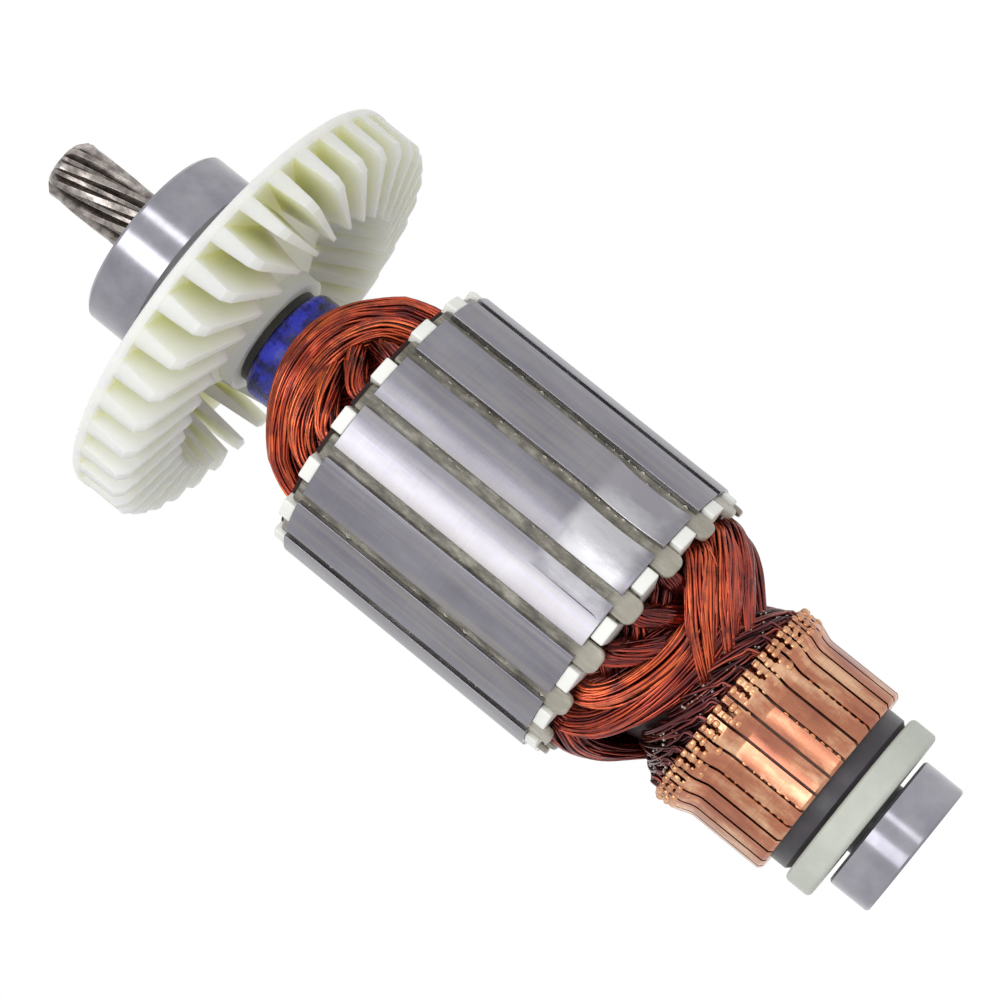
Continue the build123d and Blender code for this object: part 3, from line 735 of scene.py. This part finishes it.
def lead_bands():
    """Hanks that sweep from the slots down to the neck and end under the leads."""
    strands = Strands(41)
    steps = 30
    u = np.linspace(0, 1, steps)
    wide = 1.45 + 1.5 * np.sin(math.pi * np.clip(u * 1.1, 0, 1)) ** 0.8
    deep = 2.1 - 1.1 * u
    for side in BOTH_SIDES:
        # The hanks' tones, bright to dark from one to the next further round, are painted light and
        # shade.
        for start, tone in ((45, 0.75), (67.5, 0.5), (90, 0.25), (112.5, 0.1)):
            angle = FIRST_SLOT + start + side
            knots = [
                (angle, 18.0, lower_base + 1.2),
                (angle - 2, 18.7, lower_base - 1.2),
                (angle - 12, 18.6, lower_base - 4.0),
                (angle - 25, 16.9, lower_base - 7.6),
                (angle - 37, 14.1, lower_base - 11.2),
                (angle - 52, 11.4, neck_z - 2.0),
            ]
            strands.bundle(smooth_line(knots, steps), lower_base + 10, deep, wide, 50, tone, -0.1)
    strands.piece("commutator_lead_bands", "enamelled_wire")


def lead_wires():
    """Wires that wrap the neck, then turn out into the riser slots."""
    draw = random.Random(7)
    strands = Strands(52)
    for bar in range(BAR_COUNT):
        angle = FIRST_BAR_GAP + BAR_PITCH * (bar + 0.5)
        for layer in range(9):
            wrap = draw.uniform(24, 60)
            out = 0.15 * layer + draw.uniform(-0.15, 0.15)
            low = riser_top + 0.12 * layer + draw.uniform(-0.3, 0.7)
            climb = draw.uniform(0.7, 1.3)
            bend = draw.uniform(0.5, 2.5)
            knots = [
                (angle + draw.uniform(-1, 1), 14.6 + out, riser_top - 1.6),
                (angle - bend, 14.6 + out, low - 0.1),
                (angle - bend - 0.12 * wrap, 14.4 + out, low + 0.35 * climb),
                (angle - 0.4 * wrap, 13.6 + out, low + 1.4 * climb),
                (angle - 0.8 * wrap, 12.7 + out, low + 2.8 * climb),
                (angle - 1.2 * wrap, 11.8 + out, low + 4.2 * climb),
            ]
            strands.add(smooth_line(knots, 24)[None], 0.25, np.array([draw.uniform(0, 0.9)]), 5)
    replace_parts(strands.piece("commutator_lead_wires", "varnished_leads"), "commutator_leads")


def riser_beads():
    """Staked copper beads that cover the risers, and copper burrs along some bar edges."""
    draw = random.Random(19)
    places = []
    for k in range(BAR_COUNT * 2):
        for row, drop in enumerate((0.55, 1.7, 2.85, 3.95)):
            angle = FIRST_BAR_GAP + BAR_PITCH / 2 * (k + 0.5) + draw.uniform(-0.8, 0.8)
            height = riser_top - drop + draw.uniform(-0.25, 0.25)
            radius = riser_radius - 0.5 - max(0.0, drop - 3.2) * 0.5
            across = draw.uniform(0.6, 0.92)
            rise = draw.uniform(0.58, 0.98) - 0.05 * row
            if row < 3 or draw.random() < 0.6:
                places.append((angle, radius, height, across, rise, draw.uniform(0.5, 0.7)))
    bar_radius = radius_of("commutator_mica")
    for gap in range(BAR_COUNT):
        if gap in (1, 29, 30) or draw.random() < 0.4:
            height = low_z("commutator_bars") + 1
            while height < riser_top - 6.5:
                angle = FIRST_BAR_GAP + BAR_PITCH * gap
                places.append((angle, bar_radius - 0.05, height, 0.34, 0.45, draw.uniform(0.3, 0.7)))
                height += draw.uniform(1.1, 2.0)
    lumps("riser_beads", places, 0.75, BEAD_COPPER)


def resin_drops():
    """Hardened varnish along the slot strips and on the leads at the neck."""
    draw = random.Random(31)
    places = []
    strip_radius = radius_of("slot_wedges")
    core_end = high_z("lamination_stack")
    for slot in range(SLOT_COUNT):
        height = CORE_LOW + draw.uniform(0.2, 2)
        while height < core_end - 0.5:
            length = draw.uniform(0.12, 0.7)
            aside = draw.choice((0.45, 0.62, 0.7, 0.75, -0.7))
            size = draw.uniform(0.1, 0.2)
            angle = FIRST_SLOT + SLOT_PITCH * slot + math.degrees(aside / strip_radius)
            places.append((angle, strip_radius - 0.5, height, size, draw.uniform(0.6, 0.85), length))
            height += length * 2 + draw.expovariate(1.5)
    for _ in range(220):
        height = draw.uniform(0.2, 4.2)
        radius = float(np.interp(height, (0.2, 1.6, 4.2), (15.9, 14.9, 13.6)))
        size = draw.uniform(0.1, 0.26)
        spot = (draw.uniform(0, 360), radius, riser_top + height)
        places.append((*spot, size, size * 1.6, size * draw.uniform(0.8, 1.6)))
    lumps("resin_drops", places, 1.0, RESIN, rings=2, sides=6)


lead_bands()
lead_wires()
riser_beads()
resin_drops()


# CAD nodes: softened where their edges show, painted where they stay

softened("cooling_fan", 0.2, "fan_nylon", sharp=20, segments=3)
softened("end_insulator_commutator", 0.3, "insulator_ivory")
softened("end_insulator_drive", 0.3, "insulator_ivory")
softened("slot_wedges", 0.3, "wedge_fibre")
softened("lamination_stack", 0.12, "core_steel")
softened("commutator_bars", 0.12, "commutator_copper", crease=1.1)
softened("shaft", 0.12, "shaft_steel")

PLAIN_NODES = {
    "slot_liners": "liner_paper",
    "slot_conductors": "enamelled_wire",
    "commutator_mica": "mica",
    "commutator_moulding": "moulding_dark",
    "commutator_bush": "bush_brass",
    "insulating_washer": "washer_pale",
    "shaft_tube_commutator": "tube_brown",
    "shaft_sleeve_drive": "sleeve_blue",
    "bearing_spacer": "spacer_steel",
    "sleeve_ring": "ring_dark",
}
for bearing in ("commutator_bearing", "drive_bearing"):
    PLAIN_NODES[bearing + "_outer_ring"] = "bearing_steel"
    PLAIN_NODES[bearing + "_inner_ring"] = "bearing_steel"
    PLAIN_NODES[bearing + "_lower_shield"] = "shield_steel"
    PLAIN_NODES[bearing + "_upper_shield"] = "shield_steel"
    PLAIN_NODES[bearing + "_cage"] = "cage_nylon"
    PLAIN_NODES[bearing + "_balls"] = "ball_steel"
for node, slot in PLAIN_NODES.items():
    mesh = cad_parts[node].data
    mesh.materials.clear()
    # The slot conductors take the near-black varnish colour as painted shade deep in the slots.
    mesh.materials.append(VARNISH_AND_PAINTED_SHADE if node == "slot_conductors" else MATERIALS[slot])


# Floor, light and camera


def seen_directly(tree):
    """One where the camera, a mirror reflection or glass sees the surface, else zero."""
    path = tree.nodes.new("ShaderNodeLightPath")
    seen = path.outputs["Is Camera Ray"]
    for label in ("Is Glossy Ray", "Is Transmission Ray"):
        either = tree.nodes.new("ShaderNodeMath")
        either.operation = "MAXIMUM"
        tree.links.new(seen, either.inputs[0])
        tree.links.new(path.outputs[label], either.inputs[1])
        seen = either.outputs["Value"]
    return seen


def add_world():
    """Even pale surroundings, plain white where they are seen."""
    world = bpy.data.worlds.new("studio")
    world.use_nodes = True
    bpy.context.scene.world = world
    tree = world.node_tree
    soft = tree.nodes["Background"]
    soft.inputs["Color"].default_value = (1, 1, 1, 1)
    soft.inputs["Strength"].default_value = WORLD_LIGHT
    white = tree.nodes.new("ShaderNodeBackground")
    white.inputs["Color"].default_value = (1, 1, 1, 1)
    white.inputs["Strength"].default_value = 1.0
    mix = tree.nodes.new("ShaderNodeMixShader")
    tree.links.new(seen_directly(tree), mix.inputs["Fac"])
    tree.links.new(soft.outputs[0], mix.inputs[1])
    tree.links.new(white.outputs[0], mix.inputs[2])
    tree.links.new(mix.outputs[0], tree.nodes["World Output"].inputs["Surface"])


def add_floor():
    """Pale floor that keeps the shadow and is otherwise white to the camera."""
    reach = 6.0
    mesh = bpy.data.meshes.new("floor")
    corners = [(-reach, -reach, 0), (reach, -reach, 0), (reach, reach, 0), (-reach, reach, 0)]
    mesh.from_pydata(corners, [], [(0, 1, 2, 3)])
    material = bpy.data.materials.new("floor")
    material.use_nodes = True
    tree = material.node_tree
    shader = tree.nodes["Principled BSDF"]
    shader.inputs["Base Color"].default_value = (FLOOR_TONE, FLOOR_TONE, FLOOR_TONE, 1)
    shader.inputs["Roughness"].default_value = 0.9
    shader.inputs["Specular IOR Level"].default_value = 0.0
    shader.inputs["Emission Color"].default_value = (1, 1, 1, 1)
    lift = tree.nodes.new("ShaderNodeMath")
    lift.operation = "MULTIPLY"
    lift.inputs[1].default_value = FLOOR_LIFT
    tree.links.new(seen_directly(tree), lift.inputs[0])
    tree.links.new(lift.outputs[0], shader.inputs["Emission Strength"])
    mesh.materials.append(material)
    floor = bpy.data.objects.new("floor", mesh)
    bpy.context.scene.collection.objects.link(floor)


def add_softbox(name, angle, distance, low, high, width, radiance):
    """Upright soft light beside the camera, facing the shaft."""
    height = high - low
    data = bpy.data.lights.new(name, "AREA")
    data.shape = "RECTANGLE"
    data.size = width
    data.size_y = height
    data.energy = math.pi * radiance * width * height
    light = bpy.data.objects.new(name, data)
    a = math.radians(angle)
    light.location = (math.sin(a) * distance, -math.cos(a) * distance, (low + high) / 2)
    light.rotation_euler = (math.pi / 2, 0, a)
    light.visible_camera = False
    bpy.context.scene.collection.objects.link(light)


def add_camera():
    """Camera at the photograph's distance, height and roll."""
    location = Vector((1.78, -494.39, 3.45)) * MM
    aim = Vector((1.78, 0, 78.13)) * MM
    roll = math.radians(51.083)
    forward = (aim - location).normalized()
    right = forward.cross(Vector((0, 0, 1))).normalized()
    up = right.cross(forward)
    image_right = math.cos(roll) * right - math.sin(roll) * up
    image_up = math.sin(roll) * right + math.cos(roll) * up
    data = bpy.data.cameras.new("camera")
    data.lens = 123.67
    data.sensor_width = 36
    data.clip_start = 0.01
    data.clip_end = 50
    camera = bpy.data.objects.new("camera", data)
    camera.matrix_world = Matrix.Translation(location) @ Matrix(
        (image_right, image_up, -forward)
    ).transposed().to_4x4()
    bpy.context.scene.collection.objects.link(camera)
    bpy.context.scene.camera = camera


add_world()
add_floor()
add_softbox("wide_softbox", -23, 0.9, 0.0, 0.75, 0.33, 3.8)
add_softbox("narrow_softbox", 17, 0.9, 0.0, 0.75, 0.13, 3.3)
add_camera()
bpy.context.scene.view_settings.view_transform = "Standard"
